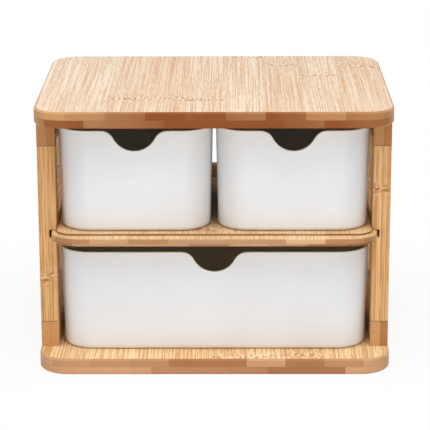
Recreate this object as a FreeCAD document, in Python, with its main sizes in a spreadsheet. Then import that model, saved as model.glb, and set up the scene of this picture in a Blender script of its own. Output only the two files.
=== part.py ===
import FreeCAD, Part
import math
import os
import Sketcher
from FreeCAD import Placement, Rotation, Vector

# Desk drawer organizer: a top and a base panel held apart by two open side frames,
# a shelf whose tongues run in grooves of the frames, and three moulded bins.
# The origin is at the middle of the footprint, on the surface that it stands on.
# The front faces -Y, and +Z is up. All sizes are in millimetres.

doc = FreeCAD.newDocument("drawer_organizer")
along_y, along_z = Vector(0, 1, 0), Vector(0, 0, 1)

# Driving dimensions: alias, value, meaning.
DIMENSIONS = [
    ("panel_width", 260, "top and base panel, left to right"),
    ("panel_depth", 205, "top and base panel, front to back"),
    ("panel_thickness", 12, "two glued plies"),
    ("panel_corner_radius", 22, "panel corners in plan"),
    ("panel_edge_bevel", 1.2, "eased edges of the panels"),
    ("frame_reveal", 0.5, "side frames stand back from the panels' sides"),
    ("frame_setback", 29, "side frames stand back from the panels' front and rear"),
    ("frame_thickness", 13, "rails and posts, left to right"),
    ("post_width", 20, "posts, front to back"),
    ("rail_height", 19.5, "top, middle and bottom rails"),
    ("frame_edge_bevel", 0.6, "eased edges of the rails, posts and stop strips"),
    ("lower_head_room", 9, "rim of the wide bin to the shelf"),
    ("upper_head_room", 6.5, "rims of the small bins to the top panel"),
    ("tongue_thickness", 5.4, "shelf at its edges"),
    ("shelf_step", 1.1, "platform above the tongue"),
    ("shelf_front_setback", 5, "shelf behind the panels' front"),
    ("shelf_corner_radius", 22, "shelf corners in plan"),
    ("shelf_ledge", 10.5, "width of the lowered edge, front and rear"),
    ("platform_corner_radius", 12.5, "raised platform's corners"),
    ("platform_clearance", 0.5, "platform to the frames' inner faces"),
    ("shelf_edge_bevel", 0.6, "eased edges of the shelf"),
    ("tongue_reach", 3.4, "how far the tongue enters the frames"),
    ("groove_depth", 5.3, "groove in the frames' inner faces"),
    ("groove_play", 0.4, "groove above the tongue"),
    ("stop_height", 10, "rear stop strips"),
    ("stop_width", 10, "rear stop strips, front to back"),
    ("stop_end_gap", 13, "strip ends to the platform's sides"),
    ("bin_height", 76, "all bins"),
    ("bin_wall", 2, "moulded wall and floor"),
    ("bin_draft", 1.15, "walls lean out by this angle in degrees"),
    ("bin_corner_radius", 23, "bin corners in plan"),
    ("bin_foot_round", 3, "between the floor and the walls, outside"),
    ("bin_foot_flats", 3, "flats that make up that round"),
    ("bin_floor_bevel", 1, "between the floor and the walls, inside"),
    ("bin_rim_bevel", 0.4, "eased edges of the rim"),
    ("bin_side_play", 2, "rim to the frames' inner faces"),
    ("bin_middle_gap", 2.6, "between the two small bins at the rim"),
    ("bin_front_setback", 20.5, "rim behind the panels' front"),
    ("bin_stop_play", 0.5, "rim to the stop strips"),
    ("notch_depth", 15, "finger notch below the rim"),
    ("notch_bowl_radius", 16.75, "bottom of the finger notch"),
    ("notch_shoulder_radius", 10.3, "shoulders that lead into the notch"),
    ("tenon_thickness", 6, "all tenons, left to right"),
    ("tenon_length", 10, "all tenons"),
    ("post_tenon_width", 12, "one tenon on each end of a post"),
    ("mid_tenon_height", 4.5, "two tenons on each end of a middle rail"),
    ("mid_tenon_spacing", 12.4, "those two, centre to centre"),
    ("glue_gap", 0.05, "round a tenon or a dowel"),
    ("end_gap", 0.5, "end of a tenon, dowel or screw to the bottom of its hole"),
    ("dowel_diameter", 5, "dowels between the top rails and the top panel"),
    ("dowel_length", 20, "those dowels"),
    ("dowel_spacing", 70, "those dowels, along a rail"),
    ("dowel_entry", 8, "their length inside the top panel"),
    ("screw_spacing", 80, "base screws, along a rail"),
    ("screw_shank", 3.5, "base screws, shank diameter"),
    ("screw_head", 7, "base screws, head diameter"),
    ("screw_length", 24, "base screws, head face to tip"),
    ("screw_tip", 3, "pointed end of a base screw"),
    ("screw_sink", 0.5, "head face below the panel's underside"),
    ("screw_fit", 0.1, "shank to its hole, on the radius"),
    ("recess_width", 1.1, "arms of the cross recess"),
    ("recess_span", 4, "cross recess, end to end"),
    ("recess_depth", 1.4, "cross recess"),
]

sizes = doc.addObject("Spreadsheet::Sheet", "sizes")
for row, (alias, value, meaning) in enumerate(DIMENSIONS, start=1):
    sizes.set("A%d" % row, alias)
    sizes.set("B%d" % row, str(value))
    sizes.set("C%d" % row, meaning)
    sizes.setAlias("B%d" % row, alias)
doc.recompute()


def number(formula):
    """The present value of a formula in the sheet's dimensions."""
    result = sizes.evalExpression(formula)
    return float(getattr(result, "Value", result))


def size(alias):
    return "sizes." + alias


def negative(formula):
    return "-(%s)" % formula


def half(formula):
    return "(%s) / 2" % formula


# Levels above the surface that the organizer stands on.
base_top = size("panel_thickness")
rail_top = "(%s + sizes.rail_height)" % base_top
shelf_underside = "(%s + sizes.bin_height + sizes.lower_head_room)" % base_top
ledge_level = "(%s + sizes.tongue_thickness)" % shelf_underside
platform_level = "(%s + sizes.shelf_step)" % ledge_level
panel_underside = "(%s + sizes.bin_height + sizes.upper_head_room)" % platform_level
top_rail_foot = "(%s - sizes.rail_height)" % panel_underside
post_length = "(%s - %s)" % (top_rail_foot, rail_top)
groove_height = "(sizes.tongue_thickness + sizes.groove_play)"
mid_rail_foot = "(%s + (%s - sizes.rail_height) / 2)" % (shelf_underside, groove_height)

# Distances from the middle of the footprint.
front_edge = "(-sizes.panel_depth / 2)"
frame_outer = "(sizes.panel_width / 2 - sizes.frame_reveal)"
frame_inner = "(%s - sizes.frame_thickness)" % frame_outer
frame_length = "(sizes.panel_depth - 2 * sizes.frame_setback)"
post_centre = "(%s - sizes.post_width) / 2" % frame_length
mid_rail_length = "(%s - 2 * sizes.post_width)" % frame_length
shelf_length = "(sizes.panel_depth - 2 * sizes.shelf_front_setback)"
shelf_width = "(2 * %s + 2 * sizes.tongue_reach)" % frame_inner
platform_width = "(2 * %s - 2 * sizes.platform_clearance)" % frame_inner
platform_length = "(%s - 2 * sizes.shelf_ledge)" % shelf_length
stop_length = "(%s - 2 * sizes.stop_end_gap)" % platform_width
stop_centre = "(%s - sizes.stop_width) / 2" % platform_length
bin_rim_front = "(%s + sizes.bin_front_setback)" % front_edge
bin_rim_rear = "(%s - sizes.stop_width / 2 - sizes.bin_stop_play)" % stop_centre
bin_rim_length = "(%s - %s)" % (bin_rim_rear, bin_rim_front)
bin_lean = "(sizes.bin_height * tan(sizes.bin_draft * 1 deg))"
wide_rim_width = "(2 * %s - 2 * sizes.bin_side_play)" % frame_inner
small_rim_width = "(%s - sizes.bin_middle_gap) / 2" % wide_rim_width
mortise_depth = "(sizes.tenon_length + sizes.end_gap)"
dowel_hole = "(sizes.dowel_diameter + 2 * sizes.glue_gap)"
screw_hole = "(sizes.screw_shank + 2 * sizes.screw_fit)"


def place(item, x="0", y="0", z="0", turn=0):
    """Puts an object at a point given by formulas, turned about its upright axis."""
    item.Placement = Placement(Vector(), Rotation(along_z, turn))
    for name, formula in (("x", x), ("y", y), ("z", z)):
        item.setExpression("Placement.Base." + name, formula)


def new_body(label):
    body = doc.addObject("PartDesign::Body", label)
    body.Label = label
    return body


def new_sketch(body, name, plane="XY_Plane", level=None):
    """A sketch on one of the body's own planes, raised along that plane's normal."""
    sketch = body.newObject("Sketcher::SketchObject", name)
    origin = [item for item in body.Origin.OriginFeatures if item.Role == plane][0]
    sketch.AttachmentSupport = [(origin, "")]
    sketch.MapMode = "FlatFace"
    if level is not None:
        sketch.setExpression("AttachmentOffset.Base.z", level)
    return sketch


def bind(sketch, constraint, name, formula):
    index = sketch.addConstraint(constraint)
    sketch.renameConstraint(index, name)
    sketch.setExpression("Constraints." + name, formula)


def arc_of(sketch, centre, radius, start, stop):
    """An arc that runs anticlockwise between two angles in degrees."""
    circle = Part.Circle(centre, along_z, radius)
    return sketch.addGeometry(Part.ArcOfCircle(circle, math.radians(start), math.radians(stop)))


def rectangle(sketch, left, low, width, height, radius=None, prefix=""):
    """A rectangle from its lower left corner, with round corners if a radius is given."""
    x0, y0 = number(left), number(low)
    x1, y1 = x0 + number(width), y0 + number(height)
    r = number(radius) if radius else 0
    ends = [
        (Vector(x0 + r, y0), Vector(x1 - r, y0)),
        (Vector(x1, y0 + r), Vector(x1, y1 - r)),
        (Vector(x1 - r, y1), Vector(x0 + r, y1)),
        (Vector(x0, y1 - r), Vector(x0, y0 + r)),
    ]
    sides = [sketch.addGeometry(Part.LineSegment(a, b)) for a, b in ends]
    if radius:
        centres = [(x1 - r, y0 + r), (x1 - r, y1 - r), (x0 + r, y1 - r), (x0 + r, y0 + r)]
        corners = []
        for quarter, (cx, cy) in enumerate(centres):
            corners.append(arc_of(sketch, Vector(cx, cy), r, (quarter - 1) * 90, quarter * 90))
        for quarter, arc in enumerate(corners):
            sketch.addConstraint(Sketcher.Constraint("Tangent", sides[quarter], 2, arc, 1))
            sketch.addConstraint(Sketcher.Constraint("Tangent", arc, 2, sides[(quarter + 1) % 4], 1))
        for arc in corners[1:]:
            sketch.addConstraint(Sketcher.Constraint("Equal", corners[0], arc))
        bind(sketch, Sketcher.Constraint("Radius", corners[0], r), prefix + "radius", radius)
    else:
        for quarter in range(4):
            following = sides[(quarter + 1) % 4]
            sketch.addConstraint(Sketcher.Constraint("Coincident", sides[quarter], 2, following, 1))
    for line, direction in zip(sides, ("Horizontal", "Vertical", "Horizontal", "Vertical")):
        sketch.addConstraint(Sketcher.Constraint(direction, line))
    bind(sketch, Sketcher.Constraint("DistanceX", -1, 1, sides[3], 1, x0), prefix + "left", left)
    bind(sketch, Sketcher.Constraint("DistanceY", -1, 1, sides[0], 1, y0), prefix + "low", low)
    bind(sketch, Sketcher.Constraint("DistanceX", sides[3], 1, sides[1], 1, x1 - x0),
         prefix + "width", width)
    bind(sketch, Sketcher.Constraint("DistanceY", sides[0], 1, sides[2], 1, y1 - y0),
         prefix + "height", height)


def circles(sketch, centres, diameter):
    """Circles of one diameter at points given by formulas."""
    for count, (across, along) in enumerate(centres, start=1):
        x, y, d = number(across), number(along), number(diameter)
        circle = sketch.addGeometry(Part.Circle(Vector(x, y), along_z, d / 2))
        bind(sketch, Sketcher.Constraint("Diameter", circle, d), "diameter%d" % count, diameter)
        bind(sketch, Sketcher.Constraint("DistanceX", -1, 1, circle, 3, x), "across%d" % count, across)
        bind(sketch, Sketcher.Constraint("DistanceY", -1, 1, circle, 3, y), "along%d" % count, along)


def tenons(sketch, centres, height, gap="0"):
    """Outlines of tenons about points given by formulas, or of mortises if there is a gap round them."""
    for count, (across, along) in enumerate(centres, start=1):
        rectangle(sketch, "%s - %s - %s" % (across, half("sizes.tenon_thickness"), gap),
                  "%s - %s - %s" % (along, half(height), gap),
                  "sizes.tenon_thickness + 2 * %s" % gap, "%s + 2 * %s" % (height, gap),
                  prefix="tenon%d_" % count)


def pad(body, sketch, name, length, reverse=False):
    feature = body.newObject("PartDesign::Pad", name)
    feature.Profile = sketch
    feature.Reversed = reverse
    feature.setExpression("Length", length)
    doc.recompute()
    return feature


def pocket(body, sketch, name, length, reverse=False, both_ways=False):
    """Cuts a sketch into the body, and makes sure that it took something away."""
    before = body.Shape.Volume
    feature = body.newObject("PartDesign::Pocket", name)
    feature.Profile = sketch
    feature.Reversed = reverse
    feature.Midplane = both_ways
    feature.setExpression("Length", length)
    doc.recompute()
    if body.Shape.Volume >= before:
        raise RuntimeError("%s in %s cuts nothing" % (name, body.Label))
    return feature


def edges_where(feature, test):
    """Names of a feature's edges that pass a test."""
    edges = feature.Shape.Edges
    return ["Edge%d" % count for count, edge in enumerate(edges, start=1) if test(edge)]


def bevel_edges(body, feature, name, width, test):
    bevelled = body.newObject("PartDesign::Chamfer", name)
    bevelled.Base = (feature, edges_where(feature, test))
    bevelled.setExpression("Size", width)
    doc.recompute()


def runs_along(direction):
    """A test for straight edges along X, Y or Z of the body's own frame."""
    def test(edge):
        if edge.Curve.TypeId != "Part::GeomLine":
            return False
        return abs(abs(edge.Curve.Direction.dot(direction)) - 1) < 1e-6
    return test


def lies_level(edge):
    return edge.BoundBox.ZLength < 1e-6


frame_sides = {"left": -1, "right": 1}
frame_ends = {"front": -1, "rear": 1}


def side_position(side):
    """The inner face of a side frame."""
    return frame_inner if side > 0 else negative(frame_inner)


def side_turn(side):
    """Frame pieces are drawn for the right side and turned half round for the left."""
    return 0 if side > 0 else 180


def pair(spacing):
    return [negative(half(spacing)), half(spacing)]


frame_middle = half(size("frame_thickness"))
rail_line = "(%s + %s)" % (frame_inner, frame_middle)


def make_panel(label):
    """A board with round corners and bevelled edges, drawn from its underside up."""
    body = new_body(label)
    sketch = new_sketch(body, label + "_outline")
    rectangle(sketch, negative(half("sizes.panel_width")), negative(half("sizes.panel_depth")),
              "sizes.panel_width", "sizes.panel_depth", "sizes.panel_corner_radius")
    board = pad(body, sketch, label + "_board", "sizes.panel_thickness")
    bevel_edges(body, board, label + "_edges", "sizes.panel_edge_bevel", lies_level)
    return body


def make_base_panel():
    """The base, with countersunk holes from beneath for the screws."""
    body = make_panel("base_panel")
    points = [(x, y) for x in (negative(rail_line), rail_line) for y in pair(size("screw_spacing"))]
    centres = new_sketch(body, "base_screw_centres")
    circles(centres, points, screw_hole)
    before = body.Shape.Volume
    holes = body.newObject("PartDesign::Hole", "base_screw_holes")
    holes.Profile = centres
    holes.Reversed = True
    holes.DepthType = "ThroughAll"
    holes.HoleCutType = "Countersink"
    holes.HoleCutCountersinkAngle = 90
    holes.setExpression("Diameter", screw_hole)
    holes.setExpression("HoleCutDiameter", "sizes.screw_head + 2 * (sizes.screw_sink + sizes.screw_fit)")
    doc.recompute()
    if body.Shape.Volume >= before:
        raise RuntimeError("the base's screw holes cut nothing")
    return body


def make_top_panel():
    """The top, with blind holes underneath for the dowels that hold it."""
    body = make_panel("top_panel")
    points = [(x, y) for x in (negative(rail_line), rail_line) for y in pair(size("dowel_spacing"))]
    holes = new_sketch(body, "top_dowel_holes")
    circles(holes, points, dowel_hole)
    pocket(body, holes, "top_dowel_bores", "sizes.dowel_entry + sizes.end_gap", reverse=True)
    place(body, z=panel_underside)
    return body


def make_bar(label, length, height):
    """A rail with bevelled long edges: X outward from its inner face, Y along it, Z up."""
    body = new_body(label)
    sketch = new_sketch(body, label + "_outline")
    rectangle(sketch, "0", negative(half(length)), "sizes.frame_thickness", length)
    bar = pad(body, sketch, label + "_bar", height)
    bevel_edges(body, bar, label + "_edges", "sizes.frame_edge_bevel", runs_along(along_y))
    return body


def cut_post_mortises(body, label, level, reverse):
    """A mortise in a rail's face under each post."""
    centres = [(frame_middle, "%s * %d" % (post_centre, end)) for end in frame_ends.values()]
    outlines = new_sketch(body, label + "_mortise_outlines", level=level)
    tenons(outlines, centres, "sizes.post_tenon_width", "sizes.glue_gap")
    pocket(body, outlines, label + "_mortises", mortise_depth, reverse=reverse)


def make_top_rail(side_name, side):
    label = side_name + "_top_rail"
    body = make_bar(label, frame_length, "sizes.rail_height")
    cut_post_mortises(body, label, None, True)
    holes = new_sketch(body, label + "_dowel_holes", level="sizes.rail_height")
    circles(holes, [(frame_middle, y) for y in pair(size("dowel_spacing"))], dowel_hole)
    pocket(body, holes, label + "_dowel_bores",
           "sizes.dowel_length - sizes.dowel_entry + sizes.end_gap")
    place(body, x=side_position(side), z=top_rail_foot, turn=side_turn(side))
    return body


def make_bottom_rail(side_name, side):
    label = side_name + "_bottom_rail"
    body = make_bar(label, frame_length, "sizes.rail_height")
    cut_post_mortises(body, label, "sizes.rail_height", False)
    pilots = new_sketch(body, label + "_screw_holes")
    circles(pilots, [(frame_middle, y) for y in pair(size("screw_spacing"))], screw_hole)
    pocket(body, pilots, label + "_screw_pilots",
           "sizes.screw_sink + sizes.screw_length - sizes.panel_thickness + sizes.end_gap",
           reverse=True)
    place(body, x=side_position(side), z=base_top, turn=side_turn(side))
    return body


def make_mid_rail(side_name, side):
    """The rail between the posts, grooved for the shelf, with two tenons at both ends."""
    label = side_name + "_mid_rail"
    body = make_bar(label, mid_rail_length, "sizes.rail_height")
    cut_groove(body, label, "%s - %s" % (shelf_underside, mid_rail_foot), mid_rail_length)
    for end_name, end in frame_ends.items():
        level = negative("%s * %d" % (half(mid_rail_length), end))
        outlines = new_sketch(body, "%s_%s_tenon_outlines" % (label, end_name), "XZ_Plane", level)
        tenons(outlines, mid_tenon_points(mid_rail_foot), "sizes.mid_tenon_height")
        pad(body, outlines, "%s_%s_tenons" % (label, end_name), "sizes.tenon_length", reverse=end > 0)
    place(body, x=side_position(side), z=mid_rail_foot, turn=side_turn(side))
    return body


def mid_tenon_points(foot):
    """The two tenons at a middle rail's end, clear of the groove, measured from a foot level."""
    middle = "(%s + %s - %s)" % (mid_rail_foot, half("sizes.rail_height"), foot)
    return [(frame_middle, "%s + %s" % (middle, offset)) for offset in pair(size("mid_tenon_spacing"))]


def cut_groove(body, label, low, length):
    """The shelf's groove along the whole inner face."""
    sketch = new_sketch(body, label + "_groove_outline", "XZ_Plane")
    rectangle(sketch, negative(size("groove_depth")), low, "2 * sizes.groove_depth", groove_height)
    pocket(body, sketch, label + "_groove", "%s + 2 * sizes.groove_depth" % length, both_ways=True)


def make_post(side_name, side, end_name, end):
    """A post between the rails: a tenon at each end, the shelf's groove and the middle rail's mortises."""
    label = "%s_%s_post" % (side_name, end_name)
    body = new_body(label)
    sketch = new_sketch(body, label + "_outline")
    rectangle(sketch, "0", negative(half("sizes.post_width")), "sizes.frame_thickness", "sizes.post_width")
    post = pad(body, sketch, label + "_bar", post_length)
    bevel_edges(body, post, label + "_edges", "sizes.frame_edge_bevel", runs_along(along_z))
    cut_groove(body, label, "%s - %s" % (shelf_underside, rail_top), "sizes.post_width")
    for name, level, reverse in (("foot", None, True), ("head", post_length, False)):
        outline = new_sketch(body, "%s_%s_tenon_outline" % (label, name), level=level)
        tenons(outline, [(frame_middle, "0")], "sizes.post_tenon_width")
        pad(body, outline, "%s_%s_tenon" % (label, name), "sizes.tenon_length", reverse=reverse)
    rail_face = -end * side
    outlines = new_sketch(body, label + "_mortise_outlines", "XZ_Plane",
                          "%s * %d" % (half("sizes.post_width"), -rail_face))
    tenons(outlines, mid_tenon_points(rail_top), "sizes.mid_tenon_height", "sizes.glue_gap")
    pocket(body, outlines, label + "_mortises", mortise_depth, reverse=rail_face > 0)
    place(body, x=side_position(side), y="%s * %d" % (post_centre, end), z=rail_top, turn=side_turn(side))
    return body


def make_shelf():
    """The shelf: a thin tongue all round, and a raised platform that the bins stand on."""
    body = new_body("shelf_board")
    outline = new_sketch(body, "tongue_outline")
    rectangle(outline, negative(half(shelf_width)), negative(half(shelf_length)),
              shelf_width, shelf_length, "sizes.shelf_corner_radius")
    tongue = pad(body, outline, "tongue", "sizes.tongue_thickness")
    bevel_edges(body, tongue, "tongue_edges", "sizes.shelf_edge_bevel", lies_level)
    raised = new_sketch(body, "platform_outline")
    rectangle(raised, negative(half(platform_width)), negative(half(platform_length)),
              platform_width, platform_length, "sizes.platform_corner_radius")
    pad(body, raised, "platform", "sizes.tongue_thickness + sizes.shelf_step")
    place(body, z=shelf_underside)
    return body


def make_stop_strip(label, level):
    """A low strip that stops the bins at the back."""
    body = new_body(label)
    sketch = new_sketch(body, label + "_outline")
    rectangle(sketch, negative(half(stop_length)), negative(half("sizes.stop_width")),
              stop_length, "sizes.stop_width")
    strip = pad(body, sketch, label + "_bar", "sizes.stop_height")

    def is_upper(edge):
        return lies_level(edge) and edge.BoundBox.ZMin > number("sizes.stop_height") / 2
    bevel_edges(body, strip, label + "_edges", "sizes.frame_edge_bevel", is_upper)
    place(body, y=stop_centre, z=level)
    return body


def bin_section(body, name, rim_width, level, inset):
    """A level section through a bin: inset from the outer wall, which leans out from the foot up."""
    lean = "(%s) * tan(sizes.bin_draft * 1 deg)" % level
    spread = "(%s - (%s))" % (lean, inset)
    sketch = new_sketch(body, name, level=level)
    rectangle(sketch, negative("%s + %s" % (half("%s - 2 * %s" % (rim_width, bin_lean)), spread)),
              negative(spread), "%s - 2 * %s + 2 * %s" % (rim_width, bin_lean, spread),
              "%s - 2 * %s + 2 * %s" % (bin_rim_length, bin_lean, spread),
              "sizes.bin_corner_radius - (%s)" % inset)
    return sketch


def loft(body, kind, name, sections):
    """Joins sections with straight walls; kind is Additive or Subtractive."""
    feature = body.newObject("PartDesign::%sLoft" % kind, name)
    feature.Profile = sections[0]
    feature.Sections = sections[1:]
    feature.Ruled = True
    doc.recompute()


def make_bin(label, rim_width, x, level):
    """A moulded bin: leaning walls of even thickness with a finger notch in the front.

    Its own origin is at the foot, below the middle of the front wall.
    """
    body = new_body(label)
    rim_edge = "sizes.bin_height - sizes.bin_rim_bevel"
    outside = []
    for step in range(int(number("sizes.bin_foot_flats")) + 1):
        turn = "(90 deg * %d / sizes.bin_foot_flats)" % step
        outside.append(("sizes.bin_foot_round * (1 - cos%s)" % turn,
                        "sizes.bin_foot_round * (1 - sin%s)" % turn))
    outside.append((rim_edge, "0"))
    outside.append(("sizes.bin_height", "sizes.bin_rim_bevel"))
    skin = "(sizes.bin_wall / cos(sizes.bin_draft * 1 deg))"
    inside = [
        ("sizes.bin_wall", skin + " + sizes.bin_floor_bevel"),
        ("sizes.bin_wall + sizes.bin_floor_bevel", skin),
        (rim_edge, skin),
        ("sizes.bin_height", skin + " - sizes.bin_rim_bevel"),
    ]
    for kind, name, outlines in (("Additive", "outside", outside), ("Subtractive", "inside", inside)):
        sections = []
        for count, (height, inset) in enumerate(outlines, start=1):
            section_name = "%s_%s_%d" % (label, name, count)
            sections.append(bin_section(body, section_name, rim_width, height, inset))
        loft(body, kind, "%s_%s" % (label, name), sections)
    cut_notch(body, label)
    place(body, x=x, y="%s + %s" % (bin_rim_front, bin_lean), z=level)
    return body


def cut_notch(body, label):
    """The finger notch: a round bowl with shoulders that flow into the rim."""
    rim = number("sizes.bin_height")
    bowl, shoulder = number("sizes.notch_bowl_radius"), number("sizes.notch_shoulder_radius")
    bowl_level = number("sizes.bin_height - sizes.notch_depth + sizes.notch_bowl_radius")
    shoulder_level = rim - shoulder
    rise = bowl_level - shoulder_level
    reach = math.sqrt((bowl + shoulder) ** 2 - rise ** 2)
    lean = math.degrees(math.atan2(rise, reach))
    sketch = new_sketch(body, label + "_notch_outline", "XZ_Plane")
    left = arc_of(sketch, Vector(-reach, shoulder_level), shoulder, lean, 90)
    bottom = arc_of(sketch, Vector(0, bowl_level), bowl, 180 + lean, 360 - lean)
    right = arc_of(sketch, Vector(reach, shoulder_level), shoulder, 90, 180 - lean)
    top = rim + shoulder
    corners = [Vector(reach, rim), Vector(reach, top), Vector(-reach, top), Vector(-reach, rim)]
    rise_right, across, rise_left = [sketch.addGeometry(Part.LineSegment(a, b))
                                     for a, b in zip(corners, corners[1:])]
    for constraint in (
        ("Tangent", left, 1, bottom, 1), ("Tangent", bottom, 2, right, 2), ("Equal", left, right),
        ("PointOnObject", bottom, 3, -2), ("Vertical", left, 3, left, 2), ("Vertical", right, 3, right, 1),
        ("Horizontal", left, 3, right, 3), ("Coincident", right, 1, rise_right, 1),
        ("Coincident", rise_right, 2, across, 1), ("Coincident", across, 2, rise_left, 1),
        ("Coincident", rise_left, 2, left, 2), ("Vertical", rise_right), ("Horizontal", across),
        ("Vertical", rise_left),
    ):
        sketch.addConstraint(Sketcher.Constraint(*constraint))
    bind(sketch, Sketcher.Constraint("Radius", bottom, bowl), "bowl", "sizes.notch_bowl_radius")
    bind(sketch, Sketcher.Constraint("Radius", left, shoulder), "shoulder", "sizes.notch_shoulder_radius")
    bind(sketch, Sketcher.Constraint("DistanceY", -1, 1, bottom, 3, bowl_level), "bowl_level",
         "sizes.bin_height - sizes.notch_depth + sizes.notch_bowl_radius")
    bind(sketch, Sketcher.Constraint("DistanceY", -1, 1, left, 3, shoulder_level), "shoulder_level",
         "sizes.bin_height - sizes.notch_shoulder_radius")
    bind(sketch, Sketcher.Constraint("DistanceY", -1, 1, across, 1, top), "top",
         "sizes.bin_height + sizes.notch_shoulder_radius")
    pocket(body, sketch, label + "_notch", "2 * (%s + 2 * sizes.bin_wall)" % bin_lean, both_ways=True)


def make_dowel(label, x, y, z):
    """An upright round pin, from its lower end."""
    pin = doc.addObject("Part::Cylinder", label)
    pin.setExpression("Radius", half("sizes.dowel_diameter"))
    pin.setExpression("Height", "sizes.dowel_length")
    place(pin, x, y, z)
    return pin


def make_group(label, members):
    """Separate solids of one kind that share a name."""
    group = doc.addObject("Part::Compound", label)
    group.Label = label
    group.Links = members
    return group


def make_top_dowels():
    """The pins between the top rails and the top panel."""
    dowels = []
    z = "%s + sizes.dowel_entry - sizes.dowel_length" % panel_underside
    for side_name, side in frame_sides.items():
        for row, y in enumerate(pair(size("dowel_spacing")), start=1):
            label = "%s_top_dowel_%d" % (side_name, row)
            dowels.append(make_dowel(label, "%d * %s" % (side, rail_line), y, z))
    return make_group("top_panel_dowels", dowels)


def make_screw(label, x, y):
    """A countersunk wood screw, drawn head down, with a cross recess."""
    body = new_body(label)
    head, shank, length, tip = (number("sizes." + name) for name in
                                ("screw_head", "screw_shank", "screw_length", "screw_tip"))
    neck = (head - shank) / 2
    points = [Vector(0, 0), Vector(head / 2, 0), Vector(shank / 2, neck),
              Vector(shank / 2, length - tip), Vector(0, length)]
    profile = new_sketch(body, label + "_profile", "XZ_Plane")
    lines = [profile.addGeometry(Part.LineSegment(a, b)) for a, b in zip(points, points[1:] + points[:1])]
    for line, following in zip(lines, lines[1:] + lines[:1]):
        profile.addConstraint(Sketcher.Constraint("Coincident", line, 2, following, 1))
    face, cone, side, point, core = lines
    for constraint in (
        ("Coincident", face, 1, -1, 1), ("Horizontal", face), ("Vertical", side), ("Vertical", core),
    ):
        profile.addConstraint(Sketcher.Constraint(*constraint))
    bind(profile, Sketcher.Constraint("DistanceX", face, 1, face, 2, head / 2), "head",
         half("sizes.screw_head"))
    bind(profile, Sketcher.Constraint("DistanceX", -1, 1, side, 1, shank / 2), "shank",
         half("sizes.screw_shank"))
    bind(profile, Sketcher.Constraint("DistanceY", -1, 1, side, 1, neck), "neck",
         "(sizes.screw_head - sizes.screw_shank) / 2")
    bind(profile, Sketcher.Constraint("DistanceY", side, 2, point, 2, tip), "tip", "sizes.screw_tip")
    bind(profile, Sketcher.Constraint("DistanceY", -1, 1, point, 2, length), "length", "sizes.screw_length")
    turned = body.newObject("PartDesign::Revolution", label + "_blank")
    turned.Profile = profile
    turned.ReferenceAxis = (profile, ["V_Axis"])
    turned.Angle = 360
    doc.recompute()
    span, width = "sizes.recess_span", "sizes.recess_width"
    for name, across, along in (("first", span, width), ("second", width, span)):
        arm = new_sketch(body, "%s_%s_arm" % (label, name))
        rectangle(arm, negative(half(across)), negative(half(along)), across, along)
        pocket(body, arm, "%s_%s_cut" % (label, name), "sizes.recess_depth", reverse=True)
    place(body, x, y, "sizes.screw_sink")
    return body


def make_base_screws():
    """The screws that hold the side frames to the base."""
    screws = []
    for side_name, side in frame_sides.items():
        for row, y in enumerate(pair(size("screw_spacing")), start=1):
            label = "%s_base_screw_%d" % (side_name, row)
            screws.append(make_screw(label, "%d * %s" % (side, rail_line), y))
    return make_group("base_screws", screws)


sub_parts = [make_base_panel(), make_top_panel()]
for side_name, side in frame_sides.items():
    sub_parts.append(make_top_rail(side_name, side))
    sub_parts.append(make_mid_rail(side_name, side))
    sub_parts.append(make_bottom_rail(side_name, side))
    for end_name, end in frame_ends.items():
        sub_parts.append(make_post(side_name, side, end_name, end))
    small_x = "%d * (%s + sizes.bin_middle_gap) / 2" % (side, small_rim_width)
    sub_parts.append(make_bin(side_name + "_small_bin", small_rim_width, small_x, platform_level))
sub_parts.append(make_bin("wide_bin", wide_rim_width, "0", base_top))
sub_parts.append(make_shelf())
sub_parts.append(make_stop_strip("shelf_stop_strip", platform_level))
sub_parts.append(make_stop_strip("base_stop_strip", base_top))
sub_parts.append(make_top_dowels())
sub_parts.append(make_base_screws())

doc.recompute()
for item in doc.Objects:
    if "Invalid" in item.State or "Error" in item.State:
        raise RuntimeError("%s failed: %s" % (item.Label, item.State))
for item in sub_parts:
    if item.Shape.isNull() or not item.Shape.isValid():
        raise RuntimeError("%s has no valid shape" % item.Label)

os.makedirs("parts", exist_ok=True)
for item in sub_parts:
    item.Shape.exportStep("parts/%s.step" % item.Label)
    box = item.Shape.BoundBox
    print("%-20s %2d solid(s) %8.0f mm3  X %.2f %.2f  Y %.2f %.2f  Z %.2f %.2f" % (
        item.Label, len(item.Shape.Solids), item.Shape.Volume,
        box.XMin, box.XMax, box.YMin, box.YMax, box.ZMin, box.ZMax))
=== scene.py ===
import math

import bmesh
import bpy
from mathutils import Matrix, Vector


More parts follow.
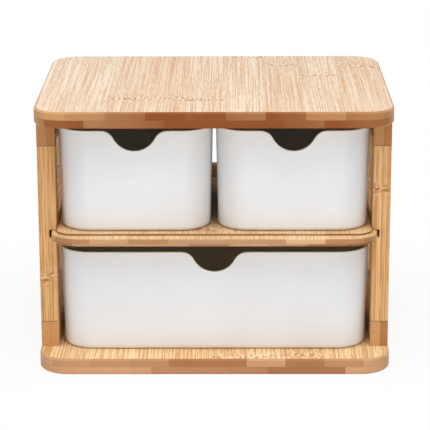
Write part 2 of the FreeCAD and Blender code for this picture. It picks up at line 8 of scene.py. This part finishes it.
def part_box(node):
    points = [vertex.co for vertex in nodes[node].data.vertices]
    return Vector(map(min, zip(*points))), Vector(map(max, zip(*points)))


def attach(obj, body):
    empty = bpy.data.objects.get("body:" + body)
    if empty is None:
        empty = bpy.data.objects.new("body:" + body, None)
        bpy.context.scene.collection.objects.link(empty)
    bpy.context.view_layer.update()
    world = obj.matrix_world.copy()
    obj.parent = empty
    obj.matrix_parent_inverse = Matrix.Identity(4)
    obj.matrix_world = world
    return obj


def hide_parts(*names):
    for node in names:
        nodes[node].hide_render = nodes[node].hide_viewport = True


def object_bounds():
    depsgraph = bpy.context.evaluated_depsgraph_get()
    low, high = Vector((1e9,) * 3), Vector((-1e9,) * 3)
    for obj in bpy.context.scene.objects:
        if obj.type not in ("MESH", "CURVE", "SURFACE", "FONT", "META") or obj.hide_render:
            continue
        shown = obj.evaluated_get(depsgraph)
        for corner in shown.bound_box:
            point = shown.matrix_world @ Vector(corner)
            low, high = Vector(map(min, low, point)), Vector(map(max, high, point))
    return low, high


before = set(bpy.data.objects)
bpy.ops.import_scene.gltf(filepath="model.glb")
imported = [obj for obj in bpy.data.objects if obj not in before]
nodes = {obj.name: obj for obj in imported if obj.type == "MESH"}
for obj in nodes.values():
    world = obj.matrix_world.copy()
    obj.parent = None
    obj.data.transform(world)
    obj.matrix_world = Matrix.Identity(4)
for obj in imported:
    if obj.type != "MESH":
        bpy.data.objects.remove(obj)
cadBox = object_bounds()
print("frame loaded:", len(nodes), "nodes")


# Shader building: a signal is one output socket, and sums on signals add Math nodes.
class Signal:
    def __init__(self, finish, socket):
        self.finish = finish
        self.socket = socket

    def maths(self, operation, *others):
        return self.finish.node("Math", {"operation": operation},
                                dict(enumerate((self,) + others)))

    def __add__(self, other):
        return self.maths("ADD", other)

    def __radd__(self, other):
        return self.maths("ADD", other)

    def __sub__(self, other):
        return self.maths("SUBTRACT", other)

    def __rsub__(self, other):
        return self.finish.node("Math", {"operation": "SUBTRACT"}, {0: other, 1: self})

    def __mul__(self, other):
        return self.maths("MULTIPLY", other)

    def __rmul__(self, other):
        return self.maths("MULTIPLY", other)

    def __truediv__(self, other):
        return self.maths("DIVIDE", other)

    def __rtruediv__(self, other):
        return self.finish.node("Math", {"operation": "DIVIDE"}, {0: other, 1: self})

    def __pow__(self, other):
        return self.maths("POWER", other)

    def __abs__(self):
        return self.maths("ABSOLUTE")

    # 0 below low, 1 above high, with an eased step between
    def rise(self, low, high):
        return self.finish.node("MapRange", {"interpolation_type": "SMOOTHSTEP"},
                                {"Value": self, "From Min": low, "From Max": high})

    # 1 at zero, 0 from reach on
    def fade(self, reach):
        return 1 - self.rise(0.0, reach)

    def larger(self, other):
        return self.maths("MAXIMUM", other)

    # the three numbers of a vector or colour
    def parts(self):
        split = self.finish.node("SeparateXYZ", None, {0: self}).socket.node
        return [Signal(self.finish, socket) for socket in split.outputs]


# The node tree of one material, or of the world when that is handed in.
class Finish:
    def __init__(self, name, owner=None):
        self.owner = owner or bpy.data.materials.new(name)
        self.owner.use_nodes = True
        self.tree = self.owner.node_tree
        self.tree.nodes.clear()

    def feed(self, socket, value):
        if isinstance(value, Signal):
            self.tree.links.new(value.socket, socket)
        else:
            socket.default_value = value

    # kind without its ShaderNode prefix; settings first, then the sockets by name or number
    def node(self, kind, settings=None, sockets=None, output=0):
        made = self.tree.nodes.new("ShaderNode" + kind)
        for key, value in (settings or {}).items():
            setattr(made, key, value)
        for key, value in (sockets or {}).items():
            self.feed(made.inputs[key], value)
        return Signal(self, made.outputs[output]) if made.outputs else None

    def vector(self, x, y, z):
        return self.node("CombineXYZ", None, {0: x, 1: y, 2: z})

    def blend(self, first, second, amount):
        settings = {"data_type": "RGBA", "blend_type": "MIX", "clamp_factor": True}
        return self.node("Mix", settings, {0: amount, 6: first, 7: second}, output=2)

    # place divided by size, one size for each direction
    def noise(self, place, size, detail):
        where = self.vector(*(part / length for part, length in zip(place, size)))
        return self.node("TexNoise", {"noise_dimensions": "3D"},
                         {"Vector": where, "Scale": 1.0, "Detail": detail, "Roughness": 0.5})

    def relief(self, height, strength, distance):
        return self.node("Bump", None,
                         {"Strength": strength, "Distance": distance, "Height": height})

    # the surface shader, joined to the material's output
    def surface(self, sockets):
        shader = self.node("BsdfPrincipled", None, sockets)
        self.node("OutputMaterial", None, {"Surface": shader})
        return self.owner


# a colour as the eye reads it, 0 to 255, turned into linear light
def rgb(red, green, blue):
    levels = []
    for part in (red, green, blue):
        part /= 255
        levels.append(part / 12.92 if part <= 0.04045 else ((part + 0.055) / 1.055) ** 2.4)
    return (*levels, 1.0)


# Laminated bamboo. Lengths in metres. Pairs named ...Edges are where an eased step starts and
# ends; those named ...Turn do the same for how squarely a surface faces one direction.
bambooLook = {
    # along the fibres
    "pale": rgb(246, 216, 180), "warm": rgb(232, 194, 150), "streak": rgb(205, 158, 112),
    "toneShare": 0.55, "cloudShare": 0.45,  # what decides between pale and warm
    "cloudSize": (0.026, 0.12, 0.02),
    "fibre": 0.00085, "fibreStretch": 200.0, "fibreShare": 0.68,
    "fleck": 0.0007, "fleckStretch": 24.0, "fleckShare": 0.32,
    "streakEdges": (0.4, 0.62), "streakDepth": 1.0, "streakEven": 0.6,
    "wander": 0.0022, "bendSize": (0.03, 0.07, 0.03), "stripShift": 0.5,
    # growth nodes
    "nodeMark": rgb(184, 130, 88), "nodeReach": 0.024, "nodeLine": 0.005, "nodeWaver": 0.006,
    "nodeSpread": 0.008, "speckSize": (0.0022, 0.006, 0.003),
    "dashEdges": (0.47, 0.62), "dashNear": 0.45, "dashLine": 0.5,
    "scaleEdges": (0.36, 0.5), "scaleDepth": 0.55,
    # end grain
    "paleEnd": rgb(206, 158, 114), "warmEnd": rgb(166, 112, 70), "pore": rgb(108, 64, 34),
    "endTurn": (0.25, 0.72), "endToneShare": 0.7, "endCloudShare": 0.2,
    "poreGap": 0.0014, "poreDepth": 0.4, "poreOrder": 0.4, "poreEdges": (0.1, 0.45),
    "poreLots": (0.3, 0.7),
    "endMiddleShade": 0.0, "middleShadeWidth": 0.13,  # painted shade: how much darker the end grain runs toward the board's middle, for side light that lights its corners more
    "lowerDusk": 0.0,  # how much darker the end grain runs in the lower ply
    "staves": None,  # tone and pore depth of the two staves of a rail, low side then high side
    # board edges along the fibres
    "edge": rgb(200, 150, 104), "edgeShare": 0.0, "flatTurn": (0.75, 0.95),
    # glue lines, seams and joints; the glue colour also paints the shade line round a raised
    # platform
    "glue": rgb(120, 76, 44), "glueWidth": 0.00022, "glueDepth": 0.4, "glueTurn": (0.6, 0.9),
    "seamDepth": 0.3, "seamOnLong": 0.4, "jointWidth": 0.0007, "jointDepth": 0.75,
    "step": None,  # a raised platform's half width, half length and corner radius, for the painted shade line round it
    "stepShadeOffset": 0.0005, "stepShadeWidth": 0.0012, "stepShadeDepth": 0.55,
    # varnish and relief
    "roughness": 0.46, "streakRoughness": 0.1, "edgeRoughness": 0.25,
    "coat": 0.12, "edgeCoatLoss": 0.85, "coatRoughness": 0.34,
    "relief": 0.00006, "reliefStrength": 0.5,
    "streakHeight": -0.5, "poreHeight": -0.8, "glueHeight": -1.0, "dashHeight": -0.15,
}


# axes: along the fibres, across the strips, through the plies. nodeSteps: from where across
# the strips, the growth node's place along them. own replaces entries of the look.
def bamboo(name, axes, stripWidth, start, stagger, glueLevel, nodeSteps, seed, joints=(), own=None):
    look = {**bambooLook, **(own or {})}
    wood = Finish(name)
    place = dict(zip("XYZ", wood.node("TexCoord", output="Object").parts()))
    facing = dict(zip("XYZ", wood.node("TexCoord", output="Normal").parts()))
    along, across, depth = (place[axis] for axis in axes)
    endFace = abs(facing[axes[0]]).rise(*look["endTurn"])
    fromFlat = abs(facing[axes[2]])
    sideFace = 1 - fromFlat.rise(*look["flatTurn"])

    # each strip draws its tone, its shift along the fibres and its pores
    upper = depth.maths("GREATER_THAN", glueLevel)
    strip = (across + start + upper * stagger) / stripWidth
    key = strip.maths("FLOOR") + upper * 31 + seed
    chance = wood.node("TexWhiteNoise", {"noise_dimensions": "1D"}, {"W": key}, output="Color")
    tone, shift, lot = chance.parts()
    poreShare = lot.rise(*look["poreLots"])
    if look["staves"]:
        (lowTone, lowPores), (highTone, highPores) = look["staves"]
        tone = upper * (highTone - lowTone) + lowTone
        poreShare = upper * (highPores - lowPores) + lowPores

    # near a growth node the fibres waver and break into dark specks and pale scales
    nodePlace = nodeSteps[0][1] + look["nodeSpread"] * (lot - 0.5)
    for (_, before), (reach, after) in zip(nodeSteps, nodeSteps[1:]):
        nodePlace = nodePlace + (after - before) * across.maths("GREATER_THAN", reach)
    fromNode = abs(along - nodePlace)
    nearNode = fromNode.fade(look["nodeReach"]) ** 2
    grain = (across, along, depth)
    specks = wood.noise(grain, look["speckSize"], 1.0)
    dashShare = nearNode * look["dashNear"] + fromNode.fade(look["nodeLine"]) * look["dashLine"]
    dashes = specks.rise(*look["dashEdges"]) * dashShare
    scales = (1 - specks.rise(*look["scaleEdges"])) * nearNode * look["scaleDepth"]

    bend = wood.noise(grain, look["bendSize"], 1.0) - 0.5
    waver = (specks - 0.5) * nearNode * look["nodeWaver"]
    bent = (across + shift * look["stripShift"] + bend * look["wander"] + waver,
            along + shift, depth)
    fibre, fleck = look["fibre"], look["fleck"]
    fibres = wood.noise(bent, (fibre, fibre * look["fibreStretch"], fibre), 1.0)
    flecks = wood.noise(bent, (fleck, fleck * look["fleckStretch"], fleck), 1.0)
    streaks = fibres * look["fibreShare"] + flecks * look["fleckShare"]
    streaks = streaks.rise(*look["streakEdges"])
    clouds = wood.noise(grain, look["cloudSize"], 2.0)

    # pores run along the fibres, so only the end grain shows their lattice
    gap = look["poreGap"]
    lattice = wood.vector((across + depth) / gap, (across - depth) / gap, 0.0)
    pores = wood.node("TexVoronoi", {"feature": "F1", "voronoi_dimensions": "2D"},
                      {"Vector": lattice, "Scale": 1.0, "Randomness": look["poreOrder"]})
    pore = (1 - pores.rise(*look["poreEdges"])) * poreShare

    longColour = wood.blend(look["pale"], look["warm"],
                            tone * look["toneShare"] + clouds * look["cloudShare"])
    streakShare = look["streakEven"] + clouds * (1 - look["streakEven"])
    longColour = wood.blend(longColour, look["streak"], streaks * look["streakDepth"] * streakShare)
    longColour = wood.blend(longColour, look["pale"], scales)
    longColour = wood.blend(longColour, look["nodeMark"], dashes)
    longColour = wood.blend(longColour, look["edge"], sideFace * look["edgeShare"])
    # painted shade toward the end grain's middle, and a darker lower ply
    middle = 1 - abs(across) / look["middleShadeWidth"]
    dusk = middle * look["endMiddleShade"] + (1 - upper) * look["lowerDusk"]
    endTone = tone * look["endToneShare"] + clouds * look["endCloudShare"] + dusk
    endColour = wood.blend(look["paleEnd"], look["warmEnd"], endTone)
    endColour = wood.blend(endColour, look["pore"], pore * look["poreDepth"])
    colour = wood.blend(longColour, endColour, endFace)

    # dark lines between the plies, between strips and at joints, and painted shade in the crease
    # round a platform
    onEdge = 1 - fromFlat.rise(*look["glueTurn"])
    glueLine = abs(depth - glueLevel).fade(look["glueWidth"]) * onEdge
    stripEdge = (0.5 - abs(strip.maths("FRACT") - 0.5)) * stripWidth
    seamShare = look["seamOnLong"] + endFace * (1 - look["seamOnLong"])
    seam = stripEdge.fade(look["glueWidth"]) * look["seamDepth"] * seamShare
    darkLinesAndCreaseShade = (glueLine * look["glueDepth"]).larger(seam)
    for level in joints:
        joint = abs(place["Z"] - level).fade(look["jointWidth"])
        darkLinesAndCreaseShade = darkLinesAndCreaseShade.larger(joint * look["jointDepth"])
    # painted shade: a dark line on the ledge and riser at the riser's foot, round the raised
    # platform
    if look["step"]:
        halfWidth, halfLength, radius = look["step"]
        overX = (abs(place["X"]) - (halfWidth - radius)).larger(0.0)
        overY = (abs(place["Y"]) - (halfLength - radius)).larger(0.0)
        fromCorner = (overX ** 2 + overY ** 2) ** 0.5
        fromStep = abs(fromCorner - (radius + look["stepShadeOffset"]))
        darkLinesAndCreaseShade = darkLinesAndCreaseShade.larger(fromStep.fade(look["stepShadeWidth"]) * upper * look["stepShadeDepth"])
    colour = wood.blend(colour, look["glue"], darkLinesAndCreaseShade)

    height = streaks * look["streakHeight"] + pore * endFace * look["poreHeight"]
    height = height + glueLine * look["glueHeight"] + dashes * look["dashHeight"]
    roughness = look["roughness"] + streaks * look["streakRoughness"]
    return wood.surface({
        "Base Color": colour, "Roughness": roughness + sideFace * look["edgeRoughness"],
        "Coat Weight": look["coat"] * (1 - sideFace * look["edgeCoatLoss"]),
        "Coat Roughness": look["coatRoughness"],
        "Normal": wood.relief(height, look["reliefStrength"], look["relief"]),
    })


plasticLook = {
    # rim: painted highlight colour for the bevel along rim and notch
    "colour": rgb(236, 238, 240), "worn": rgb(232, 233, 235), "rim": rgb(253, 253, 252),
    "wornEdges": (0.4, 0.75), "cloudSize": 0.06,
    "roughness": 0.36, "cloudRoughness": 0.12, "bending": 1.47,
    "coat": 0.5, "coatRoughness": 0.22,
    "grainSize": 0.0005, "relief": 0.00002, "reliefStrength": 0.4,
}


def mouldedPlastic(name, pale, dim):
    look = plasticLook
    plastic = Finish(name)
    place = plastic.node("TexCoord", output="Object").parts()
    grain = plastic.noise(place, (look["grainSize"],) * 3, 2.0)
    clouds = plastic.noise(place, (look["cloudSize"],) * 3, 3.0)
    return plastic.surface({
        "Base Color": plastic.blend(pale, dim, clouds.rise(*look["wornEdges"])),
        "Roughness": look["roughness"] + clouds * look["cloudRoughness"], "IOR": look["bending"],
        "Coat Weight": look["coat"], "Coat Roughness": look["coatRoughness"],
        "Normal": plastic.relief(grain, look["reliefStrength"], look["relief"]),
    })


steelLook = {
    "colour": rgb(196, 196, 192), "dull": rgb(150, 150, 146), "dullEdges": (0.4, 0.7),
    "turningSize": (0.0006, 0.0006, 0.0003), "roughness": 0.32, "turningRoughness": 0.15,
}


def platedSteel(name):
    look = steelLook
    steel = Finish(name)
    turning = steel.noise(steel.node("TexCoord", output="Object").parts(), look["turningSize"], 2.0)
    return steel.surface({
        "Base Color": steel.blend(look["colour"], look["dull"], turning.rise(*look["dullEdges"])),
        "Metallic": 1.0, "Roughness": look["roughness"] + turning * look["turningRoughness"],
    })


def dress(names, material):
    for name in names:
        slots = nodes[name].material_slots
        for slot in slots:
            slot.material = material
        if not slots:
            nodes[name].data.materials.append(material)


allAcross = -1.0  # a growth node's place from here on, below any strip
stripPitch = 0.0286  # strip width in the boards, as their end grain shows it

# each board: how its strips lie, where their nodes are, and how its own wood looks
boards = {
    "top_panel": {
        "start": 0.0069, "stagger": 0.0132, "ply": 0.5, "seed": 4902,
        "nodes": ((allAcross, -0.3), (-0.077, -0.06), (0.008, 0.094), (0.037, 0.064),
                  (0.065, 0.03), (0.094, 0.062)),
        "own": {"pale": rgb(255, 241, 220), "warm": rgb(240, 207, 176),
                "streak": rgb(212, 164, 122), "nodeMark": rgb(190, 130, 84),
                "paleEnd": rgb(220, 168, 112), "warmEnd": rgb(144, 74, 10),
                # the front edge's end grain gets painted shade toward its middle
                "endMiddleShade": 0.75, "lowerDusk": 0.2, "edgeShare": 0.75, "nodeSpread": 0.012,
                "nodeReach": 0.026, "pore": rgb(116, 64, 28), "poreGap": 0.0022,
                "poreDepth": 0.42, "poreOrder": 0.3},
    },
    "base_panel": {
        "start": 0.0179, "stagger": 0.0156, "ply": 0.5, "seed": 262,
        "nodes": ((allAcross, -0.3), (-0.004, -0.096), (0.082, -0.3)),
        "own": {"pale": rgb(255, 232, 188), "warm": rgb(246, 204, 146),
                "streak": rgb(202, 136, 64), "paleEnd": rgb(220, 170, 124),
                "warmEnd": rgb(156, 90, 34), "edgeShare": 0.6},
    },
    "shelf_board": {
        "start": 0.0179, "stagger": 0.0156, "ply": 0.28, "seed": 962,
        "nodes": ((allAcross, 0.03), (-0.02, -0.076), (0.02, 0.04)),
        "own": {"pale": rgb(252, 226, 182), "warm": rgb(238, 194, 138),
                "streak": rgb(196, 136, 78), "streakDepth": 0.7,
                "paleEnd": rgb(234, 190, 146), "warmEnd": rgb(156, 94, 40), "lowerDusk": 0.3,
                "nodeReach": 0.014, "nodeSpread": 0.003,
                # the platform outline, for a painted shade line at the riser's foot
                "edge": rgb(186, 128, 76), "edgeShare": 0.3, "step": (0.116, 0.087, 0.0125)},
    },
}
for name, sawn in boards.items():
    low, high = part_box(name)
    ply = low.z + (high.z - low.z) * sawn["ply"]
    dress([name], bamboo(name + "_bamboo", "YXZ", stripPitch, sawn["start"], sawn["stagger"], ply,
                         sawn["nodes"], sawn["seed"], own=sawn["own"]))

# posts and rails: two staves glued side by side, seen as two blocks of end grain
frameWood = {
    "pale": rgb(240, 198, 144), "warm": rgb(224, 172, 112), "streak": rgb(190, 128, 62),
    "paleEnd": rgb(224, 170, 114), "warmEnd": rgb(182, 120, 64), "nodeMark": rgb(164, 98, 40),
    "fibre": 0.0011, "fleck": 0.0008, "wander": 0.003,
    "nodeReach": 0.014, "nodeLine": 0.0022, "speckSize": (0.0014, 0.0016, 0.003),
    "pore": rgb(116, 64, 28), "poreGap": 0.0024, "poreDepth": 0.7, "poreOrder": 0.3,
}
railStaves = {
    "left_top_rail": ((0.6, 1.0), (1.25, 0.15)), "right_top_rail": ((0.6, 1.0), (1.3, 0.1)),
    "left_bottom_rail": ((0.05, 1.0), (0.4, 0.1)), "right_bottom_rail": ((-0.15, 1.0), (1.2, 0.0)),
}
postNodes = {"left_front_post": 0.0665, "right_front_post": 0.137,
             "left_rear_post": 0.12, "right_rear_post": 0.06}
staveWidth, staveStart = 0.05, 0.01  # wider than any post or rail, so none has a second strip
seamOffset = 0.0008  # of the seam between two staves, from the middle
noSeam = -1.0
postSeed, railSeed, stripSeed, dowelSeed = 11, 23, 71, 5
for side, outward in (("left", -1), ("right", 1)):
    low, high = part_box(side + "_front_post")
    seamPlace = (low[0] + high[0]) / 2 + seamOffset
    joints = (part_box(side + "_bottom_rail")[1].z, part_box(side + "_top_rail")[0].z)
    for count, part in enumerate(("front_post", "rear_post")):
        name = "%s_%s" % (side, part)
        seed = postSeed + count * 7 + outward * 3
        dress([name], bamboo(name + "_bamboo", "ZYX", staveWidth, staveStart, 0.0, seamPlace,
                             ((allAcross, postNodes[name]),), seed, joints, frameWood))
    for count, part in enumerate(("top_rail", "mid_rail", "bottom_rail")):
        name = "%s_%s" % (side, part)
        nodePlace = 0.035 - count * 0.03 + outward * 0.01
        seed = railSeed + count * 5 + outward
        dress([name], bamboo(name + "_bamboo", "YZX", staveWidth, staveStart, 0.0, seamPlace,
                             ((allAcross, nodePlace),), seed, joints,
                             {**frameWood, "staves": railStaves.get(name)}))
dress(["shelf_stop_strip", "base_stop_strip"],
      bamboo("stop_strip_bamboo", "XYZ", staveWidth, 0.0, 0.0, noSeam, ((allAcross, 0.04),),
             stripSeed, own=frameWood))
dress(["top_panel_dowels"],
      bamboo("dowel_wood", "ZXY", staveWidth, 0.0, 0.0, noSeam, ((allAcross, 0.5),),
             dowelSeed, own=frameWood))
dress(["base_screws"], platedSteel("screw_steel"))
print("wood and steel finished")


# The bins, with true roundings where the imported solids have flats.
binLook = {
    "wall": 0.002, "draft": 1.15, "cornerRadius": 0.023, "footRound": 0.003, "floorRound": 0.0012,
    "rimRound": 0.0009, "rimSegments": 3, "rimAngle": 50,
    "notchDepth": 0.015, "bowlRadius": 0.01675, "shoulderRadius": 0.0103,
    "cornerSteps": 14, "wallRows": 8, "roundSteps": 5, "bowlSteps": 16, "shoulderSteps": 7,
    "flatSteps": 4,  # front wall between a corner and the notch
}


# the finger notch as (distance from its middle, drop below the rim), left to right
def notchOutline():
    look = binLook
    bowl, shoulder = look["bowlRadius"], look["shoulderRadius"]
    rise = bowl - look["notchDepth"] + shoulder
    reach = math.sqrt((bowl + shoulder) ** 2 - rise ** 2)
    lean = math.atan2(rise, reach)
    half = []
    for step in range(look["shoulderSteps"]):
        angle = math.pi / 2 - (math.pi / 2 - lean) * step / look["shoulderSteps"]
        half.append((shoulder * math.cos(angle) - reach, shoulder - shoulder * math.sin(angle)))
    steps = look["bowlSteps"] // 2
    for step in range(steps + 1):
        angle = lean + (math.pi / 2 - lean) * step / steps
        half.append((-bowl * math.cos(angle), look["notchDepth"] - bowl + bowl * math.sin(angle)))
    return half + [(-x, drop) for x, drop in reversed(half[:-1])]


# plan of one level: front wall through the notch's points, then round the corners
def binColumns(halfWidth, front, rear, radius, notch):
    look = binLook
    reach = notch[-1][0]
    end = halfWidth - radius
    steps = look["flatSteps"]
    spare = [(reach + (end - reach) * step / steps, front) for step in range(1, steps)]
    plan = [(-end, front)] + [(-x, y) for x, y in reversed(spare)]
    plan += [(x, front) for x, _ in notch] + spare
    corners = ((end, front + radius, -90), (end, rear - radius, 0), (-end, rear - radius, 90),
               (-end, front + radius, 180))
    for count, (x, y, turn) in enumerate(corners):
        steps = look["cornerSteps"]
        for step in range(steps if count == 3 else steps + 1):  # the last point is the first one
            angle = math.radians(turn + 90 * step / steps)
            plan.append((x + radius * math.cos(angle), y + radius * math.sin(angle)))
    return plan


def makeBin(name):
    look = binLook
    low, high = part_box(name)
    centre, foot, rim = (low.x + high.x) / 2, low.z, high.z
    slope = math.tan(math.radians(look["draft"]))
    skin = look["wall"] / math.cos(math.radians(look["draft"]))
    floor = foot + look["wall"]
    footRound, floorRound = look["footRound"], look["floorRound"]
    rows, steps = look["wallRows"], look["roundSteps"]
    notch = notchOutline()
    drops = {look["flatSteps"] + count: drop for count, (_, drop) in enumerate(notch)}
    mesh = bmesh.new()

    def plan(z, inset):
        back = (rim - z) * slope + inset
        return binColumns((high.x - low.x) / 2 - back, low.y + back, high.y - back,
                          look["cornerRadius"] - inset, notch)

    # share: how far up from height to each column's own top
    def ring(height, inset, share=0.0):
        points = []
        for count in range(len(plan(height, inset))):
            z = height + (rim - drops.get(count, 0.0) - height) * share
            x, y = plan(z, inset)[count]
            points.append(mesh.verts.new((centre + x, y, z)))
        return points

    # outside from the foot up, then inside from the rim down
    rings = []
    for step in range(steps):
        angle = math.radians(90 * step / steps)
        rings.append(ring(foot + footRound * (1 - math.cos(angle)),
                          footRound * (1 - math.sin(angle))))
    for row in range(rows + 1):
        rings.append(ring(foot + footRound, 0.0, row / rows))
    for row in range(rows, -1, -1):
        rings.append(ring(floor + floorRound, skin, row / rows))
    for step in range(steps - 1, -1, -1):
        angle = math.radians(90 * step / steps)
        rings.append(ring(floor + floorRound * (1 - math.cos(angle)),
                          skin + floorRound * (1 - math.sin(angle))))
    for lower, upper in zip(rings, rings[1:]):
        for count in range(len(lower)):
            following = (count + 1) % len(lower)
            mesh.faces.new((lower[count], lower[following], upper[following], upper[count]))
    mesh.faces.new(list(reversed(rings[0])))
    mesh.faces.new(rings[-1])
    bmesh.ops.recalc_face_normals(mesh, faces=mesh.faces)
    piece = addPiece(mesh, name + "_moulding")
    for face in piece.data.polygons:
        face.use_smooth = True
    bevel = piece.modifiers.new("rim", "BEVEL")
    bevel.width = look["rimRound"]
    bevel.segments = look["rimSegments"]
    bevel.limit_method = "ANGLE"
    bevel.angle_limit = math.radians(look["rimAngle"])
    # the bevel's faces take the second material, the painted rim highlight
    bevel.material = 1
    piece.modifiers.new("shading", "WEIGHTED_NORMAL")
    return piece


# an object of its own from a mesh that is done
def addPiece(mesh, name):
    data = bpy.data.meshes.new(name)
    mesh.to_mesh(data)
    mesh.free()
    piece = bpy.data.objects.new(name, data)
    bpy.context.scene.collection.objects.link(piece)
    return piece


plastic = mouldedPlastic("moulded_plastic", plasticLook["colour"], plasticLook["worn"])
# painted highlight: a whiter plastic for the rim bevel, standing in for the bright line of light
# along rim and notch
rimHighlight = mouldedPlastic("painted_rim_highlight", plasticLook["rim"], plasticLook["rim"])
bins = {"left_small_bin": "left_small_drawer", "right_small_bin": "right_small_drawer",
        "wide_bin": "wide_drawer"}
for name, body in bins.items():
    piece = makeBin(name)
    piece.data.materials.append(plastic)
    piece.data.materials.append(rimHighlight)  # the bevel's along rim and notch, a painted highlight whiter than the plastic
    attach(piece, body)
    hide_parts(name)
    print("bin made:", name, len(piece.data.vertices), "points")


# The floor is white to the eye, with the organizer's soft shadow kept.
white = (1.0, 1.0, 1.0, 1.0)
studio = {
    "floorSize": 12.0, "floorDrop": 0.0002, "floorColour": rgb(235, 235, 235),
    # share of plain white under the organizer, and from where to where it grows to all white
    "glowNear": 0.9, "glowEdges": (0.16, 0.36),
    "skyLight": 0.1,
    # name: (place, size, watts), each aimed at the organizer's middle
    "lamps": {
        "overhead": ((0.0, -0.4, 1.6), (1.6, 1.2), 24.5),
        "front": ((0.1, -1.45, 1.35), (1.4, 1.0), 6.0),
        "bounce": ((0.0, -0.5, 0.03), (0.6, 0.12), 0.5),  # as from the white table in front
        "left": ((-1.4, -0.7, 1.2), (1.0, 1.0), 3.5),
        "right": ((1.4, -0.7, 1.2), (1.0, 1.0), 3.5),
        "behind": ((0.0, 1.7, 1.0), (1.4, 0.8), 3.5),
    },
    "unreflected": ("behind",),  # lamps whose glare would lie on the top panel
}


def makeFloor():
    size = studio["floorSize"] / 2
    mesh = bmesh.new()
    mesh.faces.new([mesh.verts.new((x, y, -studio["floorDrop"])) for x, y in
                    ((-size, -size), (size, -size), (size, size), (-size, size))])
    floor = addPiece(mesh, "floor")
    paper = Finish("floor_paper")
    seen = paper.node("LightPath", output="Is Camera Ray")
    for other in ("Is Glossy Ray", "Is Transmission Ray"):
        seen = seen.larger(paper.node("LightPath", output=other))
    matt = paper.node("BsdfDiffuse", None, {"Color": studio["floorColour"]})
    glow = paper.node("Emission", None, {"Color": white, "Strength": 1.0})
    x, y, _ = paper.node("TexCoord", output="Object").parts()
    far = ((x ** 2 + y ** 2) ** 0.5).rise(*studio["glowEdges"])
    share = studio["glowNear"] + (1 - studio["glowNear"]) * far
    both = paper.node("MixShader", None, {0: seen * share, 1: matt, 2: glow})
    paper.node("OutputMaterial", None, {"Surface": both})
    floor.data.materials.append(paper.owner)


# white where the camera sees it, a faint light for everything else
def makeSky():
    world = bpy.data.worlds.new("sky")
    bpy.context.scene.world = world
    sky = Finish("sky", world)
    seen = sky.node("LightPath", output="Is Camera Ray")
    seen = seen.larger(sky.node("LightPath", output="Is Transmission Ray"))
    light = sky.node("Background", None, {"Color": white, "Strength": studio["skyLight"]})
    backdrop = sky.node("Background", None, {"Color": white, "Strength": 1.0})
    both = sky.node("MixShader", None, {0: seen, 1: light, 2: backdrop})
    sky.node("OutputWorld", None, {"Surface": both})


def makeLamps():
    aim = Vector((0.0, 0.0, (cadBox[0][2] + cadBox[1][2]) / 2))
    for name, (spot, size, watts) in studio["lamps"].items():
        data = bpy.data.lights.new(name, "AREA")
        data.shape = "RECTANGLE"
        data.size, data.size_y = size
        data.energy = watts
        lamp = bpy.data.objects.new(name, data)
        lamp.location = spot
        lamp.visible_camera = False
        lamp.visible_glossy = name not in studio["unreflected"]
        lamp.rotation_euler = (aim - Vector(spot)).to_track_quat("-Z", "Y").to_euler()
        bpy.context.scene.collection.objects.link(lamp)


# The photograph's viewpoint, in metres and radians; lens and sensor in millimetres.
viewpoint = {
    "place": (0.01115, -1.48525, 0.51333), "pitch": 0.2756, "yaw": -0.0075, "roll": 0.0029,
    "lens": 166.97, "sensor": 36.0,
}


def makeCamera():
    pitch, yaw, roll = viewpoint["pitch"], viewpoint["yaw"], viewpoint["roll"]
    ahead = Vector((math.sin(yaw) * math.cos(pitch), math.cos(yaw) * math.cos(pitch),
                    -math.sin(pitch)))
    level = Vector((math.cos(yaw), -math.sin(yaw), 0.0))
    down = ahead.cross(level)
    right = level * math.cos(roll) + down * math.sin(roll)
    up = level * math.sin(roll) - down * math.cos(roll)
    data = bpy.data.cameras.new("camera")
    data.lens = viewpoint["lens"]
    data.sensor_width = viewpoint["sensor"]
    camera = bpy.data.objects.new("camera", data)
    turned = Matrix((right, up, -ahead)).transposed().to_4x4()
    camera.matrix_world = Matrix.Translation(viewpoint["place"]) @ turned
    bpy.context.scene.collection.objects.link(camera)
    bpy.context.scene.camera = camera


makeFloor()
makeSky()
makeLamps()
makeCamera()
bpy.context.scene.view_settings.view_transform = "Standard"
print("studio set")
